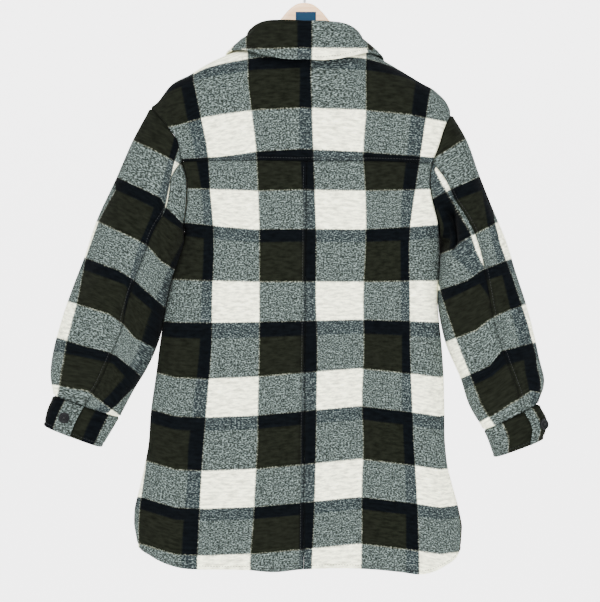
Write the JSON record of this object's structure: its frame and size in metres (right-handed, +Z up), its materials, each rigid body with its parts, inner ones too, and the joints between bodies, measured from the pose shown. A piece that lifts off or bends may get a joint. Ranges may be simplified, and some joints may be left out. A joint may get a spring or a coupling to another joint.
{
  "type": "shacket on a hanger",
  "caption": "Long shirt jacket of brushed plaid cloth with a folded collar, cuffed sleeves and a curved hem, hung on a wooden hanger.",
  "frame": {"origin": "inner top of the hanger's hook, where it hangs on a rail", "axes": "+Z up; +Y out of the garment's front, so its back faces -Y; +X to the wearer's right"},
  "size_m": [0.7549, 0.128, 0.9278],
  "materials": {
    "plaid_cloth": "brushed wool-like plaid of cream, dark olive and navy, matt with short fuzz",
    "button_resin": "dark four-hole buttons, soft gloss",
    "pale_wood": "pale varnished wood",
    "hook_steel": "plain steel wire"
  },
  "bodies": {
    "root": {"back_yoke": "plaid_cloth", "back_left": "plaid_cloth", "back_right": "plaid_cloth", "front_left": "plaid_cloth", "front_right": "plaid_cloth", "front_placket": "plaid_cloth", "collar": "plaid_cloth", "collar_stand": "plaid_cloth", "sleeve_upper_left": "plaid_cloth", "sleeve_under_left": "plaid_cloth", "sleeve_upper_right": "plaid_cloth", "sleeve_under_right": "plaid_cloth", "cuff_left": "plaid_cloth", "cuff_right": "plaid_cloth", "button_front_1": "button_resin", "button_front_2": "button_resin", "button_front_3": "button_resin", "button_front_4": "button_resin", "button_front_5": "button_resin", "button_front_6": "button_resin", "button_cuff_left": "button_resin", "button_cuff_right": "button_resin", "hanger_wood": "pale_wood", "hanger_hook": "hook_steel"}
  },
  "joints": []
}
